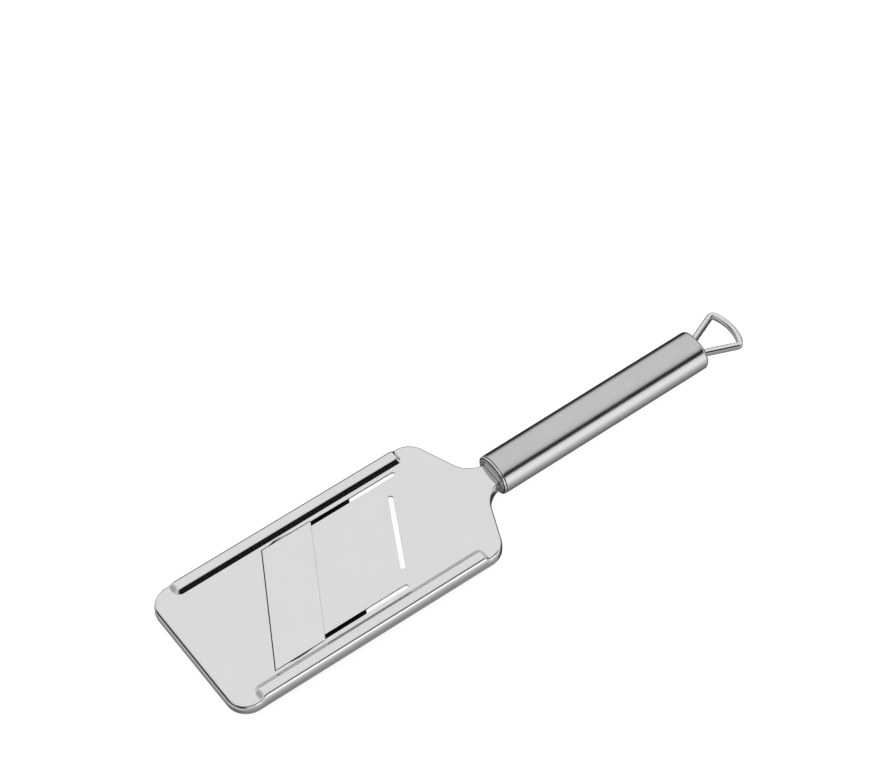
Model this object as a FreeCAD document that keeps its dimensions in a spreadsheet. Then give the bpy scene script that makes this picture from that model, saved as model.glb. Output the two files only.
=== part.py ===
import FreeCAD, Part
import os
import math
import Sketcher

# Hand-held mandoline slicer with an adjustable ramp.  Millimetres, +Z up, +X from the
# plate towards the hanging loop.  Every piece is drawn in "plate" coordinates (x = 0 at
# the free end of the plate, z = 0 on the plate's top face) or, for the handle group, in
# "handle" coordinates (x = 0 at the tube's front edge, z = 0 on the tube's axis).  The
# Placement of each object then moves it into the shared frame.

os.makedirs("parts", exist_ok=True)
doc = FreeCAD.newDocument("slicer")
Vec = FreeCAD.Vector

SIZES = [
    # plate
    ("sheet_t", 0.9, "sheet thickness"),
    ("plate_half", 39.0, "half width over the skirt"),
    ("skirt_depth", 5.7, "skirt rim below the top face"),
    ("bend_r", 2.2, "outside radius of the skirt bend"),
    ("end_corner_r", 12.0, "free end corners, in plan"),
    ("shoulder_r", 11.5, "shoulder corners, in plan"),
    ("shoulder_x", 143.65, "centre of the shoulder corners"),
    ("neck_half", 6.9, "half width of the neck over its skirt"),
    ("neck_r", 14.0, "hollow curve from shoulder to neck"),
    ("neck_x", 174.0, "where the neck becomes straight"),
    ("tang_end", 200.0, "end of the neck inside the handle"),
    ("tang_start", 171.3, "where the skirt steps up to enter the handle"),
    ("tang_step", 0.8, "height of that step"),
    # side rails
    ("rail_h", 2.0, "rail height above the top face"),
    ("rail_foot", 30.5, "inner foot of the rail from the centre line"),
    ("rail_crest", 33.4, "inner crest of the rail"),
    ("rail_start", 12.5, "start of the rail"),
    ("rail_end", 142.5, "end of the rail"),
    ("rail_ramp", 4.6, "length of each rail end"),
    # blade window, slits, relief slot
    ("window_x", 43.1, "window edge on the centre line"),
    ("window_half", 29.0, "half width of the blade window"),
    ("cut_x", 71.0, "cutting edge on the centre line"),
    ("blade_skew", 0.557, "x per y along the blade"),
    ("blade_gap", 0.3, "gap round the blade"),
    ("ramp_half", 26.4, "half width of the ramp"),
    ("ramp_gap", 0.35, "gap from cutting edge to ramp, along x"),
    ("slit_outer", 28.7, "outer edge of the slits"),
    ("tip_x", 119.4, "slit tips on the centre line"),
    ("tip_skew", 0.58, "x per y along the slit tips"),
    ("hinge_x", 116.4, "ramp hinge line on the centre line"),
    ("hinge_skew", 0.52, "x per y along the hinge line"),
    ("seam", 0.12, "modelled gap along the hinge line"),
    ("slot_w", 2.65, "width of the relief slot"),
    ("slot_far", 17.0, "slot end centre, +y side"),
    ("slot_near", 17.6, "slot end centre, -y side"),
    # blade
    ("blade_t", 0.9, "blade thickness"),
    ("grind_w", 4.5, "width of the ground bevel"),
    ("grind_d", 0.78, "depth of the ground bevel"),
    # blade bed
    ("bed_t", 0.8, "bed thickness"),
    ("bed_lap", 4.0, "lap under the plate beside the window"),
    ("bed_half", 30.9, "half width of the bed"),
    ("bed_arm", 24.0, "inner edge of the bed's arms"),
    ("bed_back", 8.5, "bed stops this far behind the cutting edge"),
    # adjuster
    ("bridge_top", -3.8, "top face of the bridge"),
    ("bridge_t", 0.9, "bridge thickness"),
    ("bridge_front", 71.9, "bridge edge towards the blade"),
    ("bridge_back", 94.2, "bridge edge towards the handle"),
    ("bridge_skew", 0.535, "x per y along the rear edge"),
    ("tab_h", 2.5, "height of the welded end tabs"),
    ("screw_x", 83.0, "screw axis"),
    ("bush_hole_r", 4.8, "hole in the bridge"),
    ("bush_flange_r", 6.5, "bush flange"),
    ("bush_flange_t", 0.88, "bush flange thickness"),
    ("bush_spigot_r", 4.75, "bush spigot"),
    ("bush_spigot_h", 0.6, "bush spigot height"),
    ("bush_body_r", 4.3, "bush body"),
    ("bush_body_h", 2.0, "bush body length"),
    ("bush_bore_r", 2.52, "bush bore"),
    ("screw_r", 2.45, "screw shank"),
    ("screw_top", -1.98, "top of the screw shank"),
    ("pin_r", 1.5, "screw tip"),
    ("pin_h", 0.42, "screw tip height"),
    ("head_r", 4.75, "screw head"),
    ("head_t", 0.9, "screw head thickness"),
    ("knob_r", 11.0, "knob radius"),
    ("knob_top", -6.4, "knob rim"),
    ("knob_bottom", -11.0, "knob underside"),
    ("knob_recess_r", 7.0, "recess for the spring"),
    ("knob_floor", -9.0, "floor of the recess"),
    ("knob_bore_r", 2.48, "knob bore"),
    ("head_recess_r", 4.85, "recess for the screw head"),
    ("head_recess_h", 1.1, "depth of the head recess"),
    ("flute_r", 1.25, "grip flutes"),
    ("flute_count", 18, "number of grip flutes"),
    ("knob_edge", 0.6, "knob edge rounding"),
    ("washer_r", 6.6, "washer outside"),
    ("washer_t", 0.4, "washer thickness"),
    ("spring_r", 5.8, "spring mean radius"),
    ("spring_wire", 0.38, "spring wire radius"),
    ("spring_turns", 2.25, "spring turns"),
    ("pad_r", 4.0, "pressure pad radius"),
    ("pad_bottom", -1.95, "pad underside"),
    ("pad_edge", -1.25, "top of the pad's cylindrical side"),
    ("pad_crown", -0.96, "crown of the pad"),
    ("pad_bore_r", 1.58, "pad bore"),
    # handle group, handle coordinates
    ("handle_x", 173.9, "front edge of the tube in plate coordinates"),
    ("handle_drop", -2.5, "tube axis below the plate's top face"),
    ("handle_tilt", 0.9, "handle rises towards its rear, degrees"),
    ("tube_a", 10.75, "half width of the oval"),
    ("tube_b", 9.0, "half height of the oval"),
    ("tube_top_r", 17.0, "radius of the flat arcs"),
    ("tube_len", 123.4, "tube length"),
    ("tube_wall", 1.0, "tube wall"),
    ("rear_round", 2.0, "rear edge rounding"),
    ("rear_wall", 2.4, "rolled-in rear rim"),
    ("rear_open", 3.2, "rim width at the rear"),
    ("cap_front", 2.4, "length of the front cap ahead of the tube"),
    ("cap_round", 1.9, "front cap edge rounding"),
    ("cap_plug", 5.0, "length of the front cap inside the tube"),
    ("cap_inset", 0.1, "front cap smaller than the tube by"),
    ("slot_clear", 0.15, "clearance round the neck"),
    ("plug_front", 119.3, "rear cap inner face"),
    ("plug_step", 120.9, "rear cap step"),
    ("plug_back", 123.1, "rear cap outer face"),
    ("fit", 0.06, "assembly gap"),
    # hanging loop
    ("loop_start", 119.0, "inner ends of the loop"),
    ("loop_w", 2.8, "loop strip, in plan"),
    ("loop_h", 3.8, "loop strip, height"),
    ("loop_round", 1.1, "loop edge rounding"),
    ("loop_exit", 3.74, "leg centre where it leaves the tube"),
    ("loop_angle", 22.4, "leg angle, degrees"),
    ("loop_corner", 2.0, "corner radius of the centre line"),
    ("loop_bow_r", 24.6, "bow radius of the centre line"),
    ("loop_bow_x", 120.5, "bow centre"),
    # frame
    ("over_len", 320.31, "overall length"),
    ("rest_height", 11.5, "plate's top face above the lowest point"),
]

dims = doc.addObject("Spreadsheet::Sheet", "dims")
for row, (alias, value, note) in enumerate(SIZES, start=1):
    dims.set("A%d" % row, note)
    dims.set("B%d" % row, str(value))
    dims.setAlias("B%d" % row, alias)
doc.recompute()


def v(alias):
    """Value of one named size, read from the sheet."""
    return float(dims.get(alias))


# ---------------------------------------------------------------- sketch helpers

def plane_of(body, role):
    """Origin plane of a body, by its role."""
    for feature in body.Origin.OriginFeatures:
        if feature.Role == role:
            return feature
    raise ValueError(role)


def new_body(name):
    """A PartDesign body whose label is the node name."""
    body = doc.addObject("PartDesign::Body", name)
    body.Label = name
    return body


def new_sketch(body, role, name, offset=None):
    """A sketch on one of the body's own origin planes, shifted by an expression."""
    sketch = body.newObject("Sketcher::SketchObject", name)
    sketch.AttachmentSupport = (plane_of(body, role), "")
    sketch.MapMode = "FlatFace"
    if offset:
        sketch.setExpression(".AttachmentOffset.Base.z", offset)
    return sketch


def draw_polygon(sketch, points):
    """Closed polygon with its corners joined."""
    first = sketch.GeometryCount
    count = len(points)
    for i, (x, y) in enumerate(points):
        nx, ny = points[(i + 1) % count]
        sketch.addGeometry(Part.LineSegment(Vec(x, y, 0), Vec(nx, ny, 0)), False)
    for i in range(count):
        here, after = first + i, first + (i + 1) % count
        sketch.addConstraint(Sketcher.Constraint("Coincident", here, 2, after, 1))


def draw_circle(sketch, x, y, size):
    """Circle whose radius follows the sheet."""
    index = sketch.addGeometry(Part.Circle(Vec(x, y, 0), Vec(0, 0, 1), v(size)), False)
    rule = sketch.addConstraint(Sketcher.Constraint("Radius", index, v(size)))
    sketch.setExpression("Constraints[%d]" % rule, "dims.%s" % size)
    return index


def draw_edges(sketch, edges):
    """Lines and arcs given as Part geometry, already end to end."""
    for edge in edges:
        sketch.addGeometry(edge, False)


def pad(body, sketch, name, length, reverse=False, midplane=False):
    """Additive extrusion whose length is an expression."""
    feature = body.newObject("PartDesign::Pad", name)
    feature.Profile = sketch
    feature.Midplane = midplane
    feature.Reversed = reverse
    feature.setExpression("Length", length)
    sketch.Visibility = False
    doc.recompute()
    return feature


def pocket(body, sketch, name, length, reverse=False, midplane=False):
    """Subtractive extrusion; the body must lose volume."""
    before = body.Shape.Volume
    feature = body.newObject("PartDesign::Pocket", name)
    feature.Profile = sketch
    feature.Midplane = midplane
    feature.Reversed = reverse
    feature.setExpression("Length", length)
    sketch.Visibility = False
    doc.recompute()
    if body.Shape.Volume > before - 0.01:
        feature.Reversed = not reverse
        doc.recompute()
    return feature


def revolve(body, name, points):
    """Solid of revolution about the body's vertical axis; points are (radius, z)."""
    sketch = new_sketch(body, "XZ_Plane", name + "_profile")
    draw_polygon(sketch, points)
    feature = body.newObject("PartDesign::Revolution", name)
    feature.Profile = sketch
    feature.ReferenceAxis = (sketch, ["V_Axis"])
    feature.Angle = 360
    sketch.Visibility = False
    doc.recompute()
    return feature


def edge_names(shape, test):
    """Names of the edges whose every point passes a test."""
    names = []
    for i, edge in enumerate(shape.Edges, start=1):
        if all(test(edge.valueAt(p)) for p in (edge.FirstParameter, edge.LastParameter)):
            names.append("Edge%d" % i)
    return names


def fillet(body, name, test, radius):
    """Fillet of the current tip along the chosen edges."""
    tip = body.Tip
    feature = body.newObject("PartDesign::Fillet", name)
    feature.Base = (tip, edge_names(tip.Shape, test))
    feature.setExpression("Radius", radius)
    doc.recompute()
    return feature


def place_on_plate(obj):
    """Plate coordinates to the shared frame."""
    obj.setExpression(".Placement.Base.x", "-dims.over_len / 2")
    obj.setExpression(".Placement.Base.z", "dims.rest_height")


def place_on_screw(obj):
    """Screw coordinates (z axis on the screw) to the shared frame."""
    obj.setExpression(".Placement.Base.x", "dims.screw_x - dims.over_len / 2")
    obj.setExpression(".Placement.Base.z", "dims.rest_height")


def place_on_handle(obj):
    """Handle coordinates to the shared frame, tilted about the tube's front edge."""
    obj.Placement = FreeCAD.Placement(Vec(), FreeCAD.Rotation(Vec(0, 1, 0), -v("handle_tilt")))
    obj.setExpression(".Placement.Base.x", "dims.handle_x - dims.over_len / 2")
    obj.setExpression(".Placement.Base.z", "dims.rest_height + dims.handle_drop")


# ---------------------------------------------------------------- shape helpers

def polygon_prism(points, z_low, z_high):
    """Vertical prism over a plan polygon."""
    corners = [Vec(x, y, z_low) for x, y in points]
    wire = Part.makePolygon(corners + [corners[0]])
    return Part.Face(wire).extrude(Vec(0, 0, z_high - z_low))


def stadium_points(start, end, radius):
    """Edges of a slot with round ends, in plan."""
    along = (end - start).normalize()
    side = Vec(-along.y, along.x, 0) * radius
    tip = along * radius
    return [
        Part.LineSegment(start + side, end + side),
        Part.Arc(end + side, end + tip, end - side),
        Part.LineSegment(end - side, start - side),
        Part.Arc(start - side, start - tip, start + side),
    ]


def stadium_prism(start, end, radius, z_low, z_high):
    """Vertical prism over a slot with round ends."""
    wire = Part.Wire([piece.toShape() for piece in stadium_points(start, end, radius)])
    face = Part.Face(wire)
    face.translate(Vec(0, 0, z_low))
    return face.extrude(Vec(0, 0, z_high - z_low))


def skew_line(x_mid, skew, y):
    """x of a skewed line at a given y."""
    return x_mid + skew * y


def plate_outline():
    """Closed wire of the plate's outer wall, in plan."""
    half, corner, shoulder = v("plate_half"), v("end_corner_r"), v("shoulder_r")
    neck, hollow = v("neck_half"), v("neck_r")
    # inner common tangent of the shoulder circle and the neck's hollow circle
    a = Vec(v("shoulder_x"), half - shoulder, 0)
    b = Vec(v("neck_x"), neck + hollow, 0)
    gap = b - a
    swing = math.acos((shoulder + hollow) / gap.Length)
    heading = math.atan2(gap.y, gap.x) + swing
    normal = Vec(math.cos(heading), math.sin(heading), 0)
    leave = a + normal * shoulder
    meet = b - normal * hollow
    top = Vec(a.x, half, 0)
    mid_a = a + (normal + Vec(0, 1, 0)).normalize() * shoulder
    mid_b = b - (normal + Vec(0, 1, 0)).normalize() * hollow
    foot = Vec(b.x, neck, 0)
    tang = Vec(v("tang_end"), neck, 0)
    c = Vec(corner, half - corner, 0)
    start = Vec(corner, half, 0)
    mid_c = c + Vec(-1, 1, 0).normalize() * corner
    side = Vec(0, half - corner, 0)

    def flip(p):
        return Vec(p.x, -p.y, 0)

    upper = [
        Part.Arc(side, mid_c, start),
        Part.LineSegment(start, top),
        Part.Arc(top, mid_a, leave),
        Part.LineSegment(leave, meet),
        Part.Arc(meet, mid_b, foot),
        Part.LineSegment(foot, tang),
    ]
    lower = [
        Part.LineSegment(tang, flip(tang)),
        Part.LineSegment(flip(tang), flip(foot)),
        Part.Arc(flip(foot), flip(mid_b), flip(meet)),
        Part.LineSegment(flip(meet), flip(leave)),
        Part.Arc(flip(leave), flip(mid_a), flip(top)),
        Part.LineSegment(flip(top), flip(start)),
        Part.Arc(flip(start), flip(mid_c), flip(side)),
        Part.LineSegment(flip(side), side),
    ]
    return Part.Wire([piece.toShape() for piece in upper + lower])


def pressed_block(wire, z_low, z_high, round_r):
    """Solid over an outline with its top edge rounded."""
    face = Part.Face(wire)
    face.translate(Vec(0, 0, z_low))
    block = face.extrude(Vec(0, 0, z_high - z_low))
    rim = [e for e in block.Edges if all(abs(p.Point.z - z_high) < 1e-6 for p in e.Vertexes)]
    return block.makeFillet(round_r, rim)


def rail_block(side, inset):
    """One side rail; inset 0 gives its outside, a positive inset the hollow beneath."""
    height = v("rail_h") - inset
    foot = v("rail_foot") + 0.45 * inset
    crest = v("rail_crest") + 0.3 * inset
    wall = v("plate_half") - inset
    round_r = v("bend_r") - inset
    low = -2.0 - inset
    half_round = round_r * (1 - math.sqrt(0.5))
    points = [
        Vec(0, foot, low),
        Vec(0, foot, -inset),
        Vec(0, crest - 0.25, height - 0.2),
        Vec(0, crest + 0.35, height),
        Vec(0, wall - round_r, height),
        Vec(0, wall, height - round_r),
        Vec(0, wall, low),
    ]
    bend = Part.Arc(points[4], Vec(0, wall - half_round, height - half_round), points[5])
    edges = [Part.LineSegment(points[i], points[i + 1]).toShape() for i in (0, 1, 2, 3)]
    edges.append(bend.toShape())
    edges.append(Part.LineSegment(points[5], points[6]).toShape())
    edges.append(Part.LineSegment(points[6], points[0]).toShape())
    start, end, ramp = v("rail_start") + 1.3 * inset, v("rail_end") - 1.3 * inset, v("rail_ramp")
    bar = Part.Face(Part.Wire(edges)).extrude(Vec(end - start, 0, 0))
    bar.translate(Vec(start, 0, 0))
    profile = [
        Vec(start, 0, low),
        Vec(start, 0, -inset),
        Vec(start + ramp, 0, height + 0.01),
        Vec(end - ramp, 0, height + 0.01),
        Vec(end, 0, -inset),
        Vec(end, 0, low),
    ]
    keep = Part.Face(Part.makePolygon(profile + [profile[0]])).extrude(Vec(0, 60, 0))
    rail = bar.common(keep)
    if side < 0:
        rail = rail.mirror(Vec(), Vec(0, 1, 0))
    return rail


def ramp_opening():
    """Plan polygon of the window's ramp half, out to the hinge line."""
    half, seam = v("ramp_half") + 0.1, v("seam") / 2
    return [
        (skew_line(v("cut_x") - 1, v("blade_skew"), -half), -half),
        (skew_line(v("hinge_x") + seam, v("hinge_skew"), -half), -half),
        (skew_line(v("hinge_x") + seam, v("hinge_skew"), half), half),
        (skew_line(v("cut_x") - 1, v("blade_skew"), half), half),
    ]


def slot_ends():
    """End centres of the relief slot."""
    far, near = v("slot_far"), -v("slot_near")
    return (
        Vec(skew_line(v("hinge_x"), v("hinge_skew"), near), near, 0),
        Vec(skew_line(v("hinge_x"), v("hinge_skew"), far), far, 0),
    )


# ---------------------------------------------------------------- slicing plate

def make_plate():
    """Pressed sheet: skirt, rails, neck, blade window, slits and relief slot."""
    t, depth = v("sheet_t"), v("skirt_depth")
    outline = plate_outline()
    shell = pressed_block(outline, -depth, 0, v("bend_r"))
    for side in (1, -1):
        shell = shell.fuse(rail_block(side, 0))
    inner = pressed_block(outline.makeOffset2D(-t), -depth - 1, -t, v("bend_r") - t)
    shell = shell.cut(inner)
    for side in (1, -1):
        shell = shell.cut(rail_block(side, t))
    half, skew = v("window_half"), v("blade_skew")
    window = [
        (skew_line(v("window_x"), skew, -half), -half),
        (skew_line(v("cut_x"), skew, -half), -half),
        (skew_line(v("cut_x"), skew, half), half),
        (skew_line(v("window_x"), skew, half), half),
    ]
    shell = shell.cut(polygon_prism(window, -2.5, 1))
    shell = shell.cut(polygon_prism(ramp_opening(), -2.5, 1))
    slit_r = (v("slit_outer") - v("ramp_half")) / 2
    slit_y = (v("slit_outer") + v("ramp_half")) / 2
    for side in (1, -1):
        start = Vec(skew_line(v("cut_x") - 4, skew, side * slit_y), side * slit_y, 0)
        tip_x = skew_line(v("tip_x"), v("tip_skew"), side * slit_y) - slit_r
        end = Vec(tip_x, side * slit_y, 0)
        shell = shell.cut(stadium_prism(start, end, slit_r, -2.5, 1))
    start, end = slot_ends()
    shell = shell.cut(stadium_prism(start, end, v("slot_w") / 2, -2.5, 1))
    tang = Part.makeBox(60, 40, depth, Vec(v("tang_start"), -20, v("tang_step") - 2 * depth))
    return shell.cut(tang).removeSplitter()


plate = doc.addObject("Part::Feature", "slicing_plate")
plate.Shape = make_plate()
place_on_plate(plate)


# ---------------------------------------------------------------- blade, bed, ramp

def make_blade():
    """Parallelogram blade with one ground edge on its underside."""
    body = new_body("slicing_blade")
    half, skew, gap = v("window_half") - v("blade_gap"), v("blade_skew"), v("blade_gap")
    sketch = new_sketch(body, "XY_Plane", "blade_plan")
    draw_polygon(sketch, [
        (skew_line(v("window_x") + gap, skew, -half), -half),
        (skew_line(v("cut_x"), skew, -half), -half),
        (skew_line(v("cut_x"), skew, half), half),
        (skew_line(v("window_x") + gap, skew, half), half),
    ])
    pad(body, sketch, "blade_sheet", "dims.blade_t", reverse=True)
    tip = body.Tip

    def ground(p):
        on_edge = abs(p.x - skew_line(v("cut_x"), skew, p.y)) < 1e-3
        return on_edge and abs(p.z + v("blade_t")) < 1e-3

    grind = body.newObject("PartDesign::Chamfer", "blade_grind")
    grind.Base = (tip, edge_names(tip.Shape, ground))
    grind.ChamferType = "Two distances"
    grind.setExpression("Size", "dims.grind_d")
    grind.setExpression("Size2", "dims.grind_w")
    doc.recompute()
    wanted = tip.Shape.Volume - v("grind_d") * v("grind_w") * half * math.hypot(1, skew)
    lower = [f for f in body.Shape.Faces if f.normalAt(0, 0).z < -0.99]
    if abs(body.Shape.Volume - wanted) > 1 or not lower or lower[0].Area < 1000:
        print("blade grind", body.Shape.Volume, wanted)
    widest = max((f.Area for f in lower), default=0)
    full = (v("cut_x") - v("window_x") - gap) * 2 * half
    if widest > full - v("grind_w") * half:
        grind.FlipDirection = True
        doc.recompute()
    return body


def make_bed():
    """Thin frame under the blade, welded to the plate's underside."""
    body = new_body("blade_bed")
    skew, out, arm = v("blade_skew"), v("bed_half"), v("bed_arm")
    sketch = new_sketch(body, "XY_Plane", "bed_plan", "-dims.sheet_t - 0.02")
    left = v("window_x") - v("bed_lap")
    front, back = v("cut_x") - 0.6, v("cut_x") - v("bed_back")
    draw_polygon(sketch, [
        (skew_line(left, skew, -out), -out),
        (skew_line(front, skew, -out), -out),
        (skew_line(front, skew, -arm), -arm),
        (skew_line(back, skew, -arm), -arm),
        (skew_line(back, skew, arm), arm),
        (skew_line(front, skew, arm), arm),
        (skew_line(front, skew, out), out),
        (skew_line(left, skew, out), out),
    ])
    pad(body, sketch, "bed_sheet", "dims.bed_t", reverse=True)
    return body


def make_ramp():
    """Flexing tongue of the plate, from the cutting edge to the hinge line."""
    body = new_body("slicing_ramp")
    half, seam = v("ramp_half"), v("seam") / 2
    sketch = new_sketch(body, "XY_Plane", "ramp_plan")
    front = v("cut_x") + v("ramp_gap")
    back = v("hinge_x") - seam
    draw_polygon(sketch, [
        (skew_line(front, v("blade_skew"), -half), -half),
        (skew_line(back, v("hinge_skew"), -half), -half),
        (skew_line(back, v("hinge_skew"), half), half),
        (skew_line(front, v("blade_skew"), half), half),
    ])
    pad(body, sketch, "ramp_sheet", "dims.sheet_t", reverse=True)
    slot = new_sketch(body, "XY_Plane", "ramp_slot")
    start, end = slot_ends()
    draw_edges(slot, stadium_points(start, end, v("slot_w") / 2))
    pocket(body, slot, "ramp_relief", "dims.sheet_t")
    return body


blade = make_blade()
bed = make_bed()
ramp = make_ramp()
for piece in (blade, bed, ramp):
    place_on_plate(piece)


# ---------------------------------------------------------------- adjuster

def make_bridge():
    """Black strap across the skirt that carries the threaded bush."""
    body = new_body("adjuster_bridge")
    reach = v("plate_half") - v("sheet_t") - v("fit")
    skew, back = v("blade_skew"), v("bridge_skew")

    def strip(low, high):
        return [
            (skew_line(v("bridge_front"), skew, low), low),
            (skew_line(v("bridge_back"), back, low), low),
            (skew_line(v("bridge_back"), back, high), high),
            (skew_line(v("bridge_front"), skew, high), high),
        ]

    deck = new_sketch(body, "XY_Plane", "bridge_plan", "dims.bridge_top")
    draw_polygon(deck, strip(-reach, reach))
    pad(body, deck, "bridge_deck", "dims.bridge_t", reverse=True)
    tabs = new_sketch(body, "XY_Plane", "bridge_tabs", "dims.bridge_top - dims.bridge_t")
    draw_polygon(tabs, strip(reach - 1.0, reach))
    draw_polygon(tabs, strip(-reach, 1.0 - reach))
    pad(body, tabs, "bridge_ends", "dims.tab_h + dims.bridge_t")
    hole = new_sketch(body, "XY_Plane", "bridge_hole", "dims.bridge_top")
    draw_circle(hole, v("screw_x"), 0, "bush_hole_r")
    pocket(body, hole, "bush_seat", "dims.bridge_t")
    return body


def make_bush():
    """Flanged bush with the adjusting thread."""
    body = new_body("threaded_bush")
    under = v("bridge_top") - v("bridge_t") - 0.02
    bore = v("bush_bore_r")
    revolve(body, "bush_turned", [
        (bore, under - v("bush_flange_t") - v("bush_body_h")),
        (v("bush_body_r"), under - v("bush_flange_t") - v("bush_body_h")),
        (v("bush_body_r"), under - v("bush_flange_t")),
        (v("bush_flange_r"), under - v("bush_flange_t")),
        (v("bush_flange_r"), under),
        (v("bush_spigot_r"), under),
        (v("bush_spigot_r"), under + v("bush_spigot_h")),
        (bore, under + v("bush_spigot_h")),
    ])
    return body


def make_screw():
    """Adjusting screw: shank, swivel tip and slotted head."""
    body = new_body("adjuster_screw")
    head_top = v("knob_bottom") + v("head_recess_h") - 0.03
    revolve(body, "screw_turned", [
        (0, head_top - v("head_t")),
        (v("head_r"), head_top - v("head_t")),
        (v("head_r"), head_top),
        (v("screw_r"), head_top),
        (v("screw_r"), v("screw_top") - 0.4),
        (v("screw_r") - 0.4, v("screw_top")),
        (v("pin_r"), v("screw_top")),
        (v("pin_r"), v("screw_top") + v("pin_h")),
        (0, v("screw_top") + v("pin_h")),
    ])
    slot = new_sketch(body, "XY_Plane", "driver_slot", "dims.knob_bottom")
    reach = v("head_r") + 1
    draw_polygon(slot, [(-reach, -0.5), (reach, -0.5), (reach, 0.5), (-reach, 0.5)])
    pocket(body, slot, "driver_cut", "0.6 + dims.head_recess_h - dims.head_t - 0.03", reverse=True)
    return body


def make_knob():
    """Fluted thumb knob with a recess for the spring."""
    body = new_body("adjuster_knob")
    top, bottom, edge = v("knob_top"), v("knob_bottom"), v("knob_edge")
    revolve(body, "knob_turned", [
        (v("knob_bore_r"), bottom + v("head_recess_h")),
        (v("head_recess_r"), bottom + v("head_recess_h")),
        (v("head_recess_r"), bottom),
        (v("knob_r") - edge, bottom),
        (v("knob_r"), bottom + edge),
        (v("knob_r"), top - edge),
        (v("knob_r") - edge, top),
        (v("knob_recess_r"), top),
        (v("knob_recess_r"), v("knob_floor")),
        (v("knob_bore_r"), v("knob_floor")),
    ])
    flute = new_sketch(body, "XY_Plane", "flute_plan", "dims.knob_bottom")
    draw_circle(flute, v("knob_r") + 0.55, 0, "flute_r")
    cut = pocket(body, flute, "flute", "dims.knob_top - dims.knob_bottom", reverse=True)
    ring = body.newObject("PartDesign::PolarPattern", "flutes")
    ring.Originals = [cut]
    ring.Axis = (flute, ["N_Axis"])
    ring.Angle = 360
    ring.setExpression("Occurrences", "dims.flute_count")
    body.Tip = ring
    doc.recompute()
    return body


def make_washer():
    """Thin washer between the spring and the knob."""
    body = new_body("spring_washer")
    low = v("knob_floor") + 0.01
    inner = v("screw_r") + 0.2
    revolve(body, "washer_ring", [
        (inner, low),
        (v("washer_r"), low),
        (v("washer_r"), low + v("washer_t")),
        (inner, low + v("washer_t")),
    ])
    return body


def make_pad():
    """Domed pad that lifts the ramp and swivels on the screw tip."""
    body = new_body("pressure_pad")
    bore, bottom = v("pad_bore_r"), v("pad_bottom")
    ceiling = v("screw_top") + v("pin_h") + 0.06
    radius, rise = v("pad_r"), v("pad_crown") - v("pad_edge")
    sphere_r = (radius ** 2 + rise ** 2) / (2 * rise)
    crown = []
    for step in range(9):
        r = radius * (1 - step / 8)
        crown.append((r, v("pad_crown") - sphere_r + math.sqrt(sphere_r ** 2 - r ** 2)))
    revolve(body, "pad_turned", [(bore, bottom), (radius, bottom)] + crown + [(0, ceiling), (bore, ceiling)])
    return body


def make_spring():
    """Open coil that keeps the knob from rattling loose."""
    wire_r, radius = v("spring_wire"), v("spring_r")
    high = v("bridge_top") - v("bridge_t") - 0.02 - v("bush_flange_t") - wire_r - 0.02
    low = v("knob_floor") + v("washer_t") + wire_r + 0.03
    height = high - low
    helix = Part.makeLongHelix(height / v("spring_turns"), height, radius)
    helix.translate(Vec(0, 0, low))
    ring = Part.Wire(Part.makeCircle(wire_r, Vec(radius, 0, low), Vec(0, 1, 0)))
    coil = Part.Wire(helix.Edges).makePipeShell([ring], True, True)
    lift = FreeCAD.Matrix()
    return coil.transformGeometry(lift)


bridge = make_bridge()
place_on_plate(bridge)
bush = make_bush()
screw = make_screw()
knob = make_knob()
washer = make_washer()
pad_piece = make_pad()
spring = doc.addObject("Part::Feature", "knob_spring")
spring.Shape = make_spring()
for piece in (bush, screw, knob, washer, pad_piece, spring):
    place_on_screw(piece)


# ---------------------------------------------------------------- handle group

def oval_edges(inset):
    """Four-arc oval of the tube section (y, z), made smaller by an inset."""
    a, b, big = v("tube_a") - inset, v("tube_b") - inset, v("tube_top_r") - inset
    # side arc radius from tangency with the flat arcs
    small = (big ** 2 - a ** 2 - (big - b) ** 2) / (2 * (big - a))
    top_c, side_c = Vec(0, b - big, 0), Vec(a - small, 0, 0)
    along = (side_c - top_c).normalize()
    join = top_c + along * big

    def at(sy, sz):
        return Vec(sy * join.x, sz * join.y, 0)

    return [
        Part.Arc(at(-1, 1), Vec(0, b, 0), at(1, 1)),
        Part.Arc(at(1, 1), Vec(a, 0, 0), at(1, -1)),
        Part.Arc(at(1, -1), Vec(0, -b, 0), at(-1, -1)),
        Part.Arc(at(-1, -1), Vec(-a, 0, 0), at(-1, 1)),
    ]


def oval_sketch(body, name, inset, offset=None):
    """Oval section on the body's YZ plane."""
    sketch = new_sketch(body, "YZ_Plane", name, offset)
    draw_edges(sketch, oval_edges(inset))
    return sketch


def make_tube():
    """Oval handle tube with its rear edge rolled in."""
    body = new_body("handle_tube")
    pad(body, oval_sketch(body, "tube_section", 0), "tube_outer", "dims.tube_len")
    fillet(body, "tube_rear", lambda p: abs(p.x - v("tube_len")) < 1e-3, "dims.rear_round")
    hollow = oval_sketch(body, "tube_hollow", v("tube_wall"))
    pocket(body, hollow, "tube_inner", "dims.tube_len - dims.rear_wall", reverse=True)
    mouth = oval_sketch(body, "rear_mouth", v("rear_open"), "dims.tube_len - dims.rear_wall - 1")
    pocket(body, mouth, "rear_opening", "dims.rear_wall + 2", reverse=True)
    return body


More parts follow.
